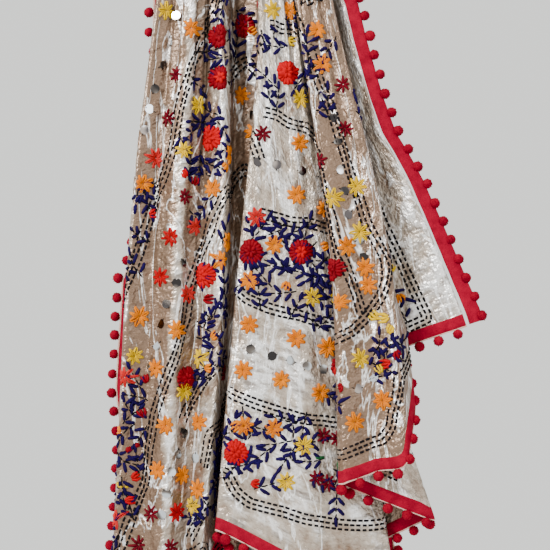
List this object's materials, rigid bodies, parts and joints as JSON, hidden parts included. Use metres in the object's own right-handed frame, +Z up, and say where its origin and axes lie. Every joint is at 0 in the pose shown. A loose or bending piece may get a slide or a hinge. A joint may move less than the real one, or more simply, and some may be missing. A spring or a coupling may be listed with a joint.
{
  "type": "embroidered shawl on a wall bar",
  "caption": "Phulkari shawl of pale tissue silk with floral bands, mirrors and a red tape with pompoms, hung over a wall bar.",
  "frame": {"origin": "middle of the wall plate's back face", "axes": "+Z up, +Y into the wall, +X to the right of someone who faces the wall"},
  "size_m": [0.4207, 0.1846, 1.2971],
  "materials": {
    "cloth": "grainy",
    "trim": "matte",
    "bar": "satin"
  },
  "bodies": {
    "root": {"cloth_front": "cloth", "cloth_over": "cloth", "cloth_back": "cloth", "tape_right_front": "trim", "tape_hem_front": "trim", "tape_left_front": "trim", "tape_right_over": "trim", "tape_left_over": "trim", "tape_right_back": "trim", "tape_hem_back": "trim", "tape_left_back": "trim", "wall_bar": "bar", "wall_plate": "bar"}
  },
  "joints": []
}
